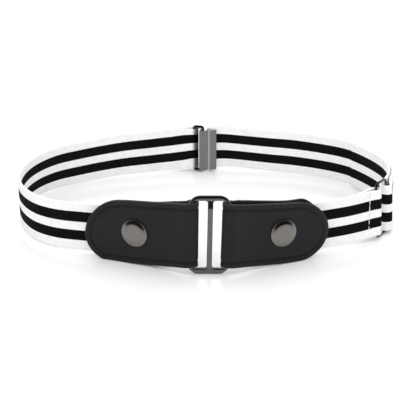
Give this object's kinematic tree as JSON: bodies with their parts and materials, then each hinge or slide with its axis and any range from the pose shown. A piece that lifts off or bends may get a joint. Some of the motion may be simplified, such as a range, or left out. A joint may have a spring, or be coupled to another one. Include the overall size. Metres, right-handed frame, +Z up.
{
  "type": "buckle-free elastic belt",
  "caption": "Striped elastic belt closed by leather tabs snapped round a flat metal slide, with a ring at the side and a hook clasp at the back.",
  "frame": {"origin": "middle of the footprint, on the surface that the belt stands on", "axes": "+X to the right as seen from the front slide, +Y from the front slide to the back clasp, +Z up"},
  "size_m": [0.1992, 0.156, 0.04],
  "materials": {
    "elastic_band": "woven elastic, white with two black stripes",
    "tab_leather": "smooth black with a soft sheen",
    "dark_metal": "dark plated, polished",
    "snap_metal": "satin",
    "ring_metal": "dark plated wire",
    "hook_metal": "brushed upright"
  },
  "bodies": {
    "root": {"front_slide": "dark_metal", "tab_left": "tab_leather", "tab_right": "tab_leather", "snap_cap_left": "snap_metal", "snap_stud_left": "snap_metal", "snap_cap_right": "snap_metal", "snap_stud_right": "snap_metal", "band_left": "elastic_band", "band_right_front": "elastic_band", "band_right": "elastic_band", "side_ring": "ring_metal", "clasp_ring": "ring_metal", "clasp_hook": "hook_metal"}
  },
  "joints": []
}
